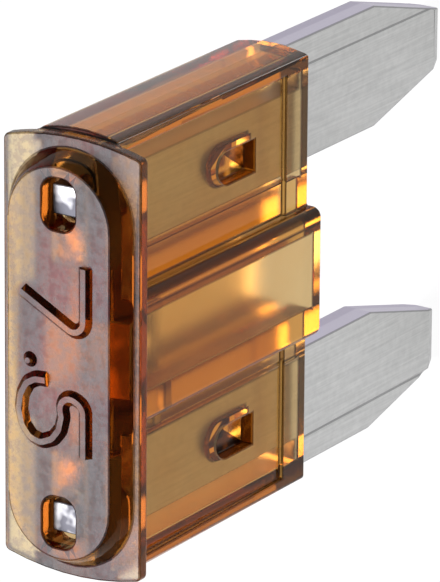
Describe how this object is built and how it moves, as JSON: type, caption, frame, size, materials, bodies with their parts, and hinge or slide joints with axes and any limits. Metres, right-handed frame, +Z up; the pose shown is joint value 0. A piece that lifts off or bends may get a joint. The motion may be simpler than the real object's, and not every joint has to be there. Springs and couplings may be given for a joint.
{
  "type": "miniature blade fuse",
  "caption": "Miniature plug-in blade fuse: translucent amber housing with a raised, slotted test head and a stamped metal element that ends in slant-tipped blades.",
  "frame": {"origin": "middle of the underside of the housing, halfway between the blades and halfway through the metal strip", "axes": "+Z up through the head, so the blades point to -Z; X runs from blade to blade; Y is the thickness"},
  "size_m": [0.011, 0.0038, 0.016],
  "materials": {
    "amber_plastic": "clear moulded, amber brown",
    "zinc_strip": "dull rolled zinc"
  },
  "bodies": {
    "root": {"housing": "amber_plastic", "fuse_element": "zinc_strip"}
  },
  "joints": []
}
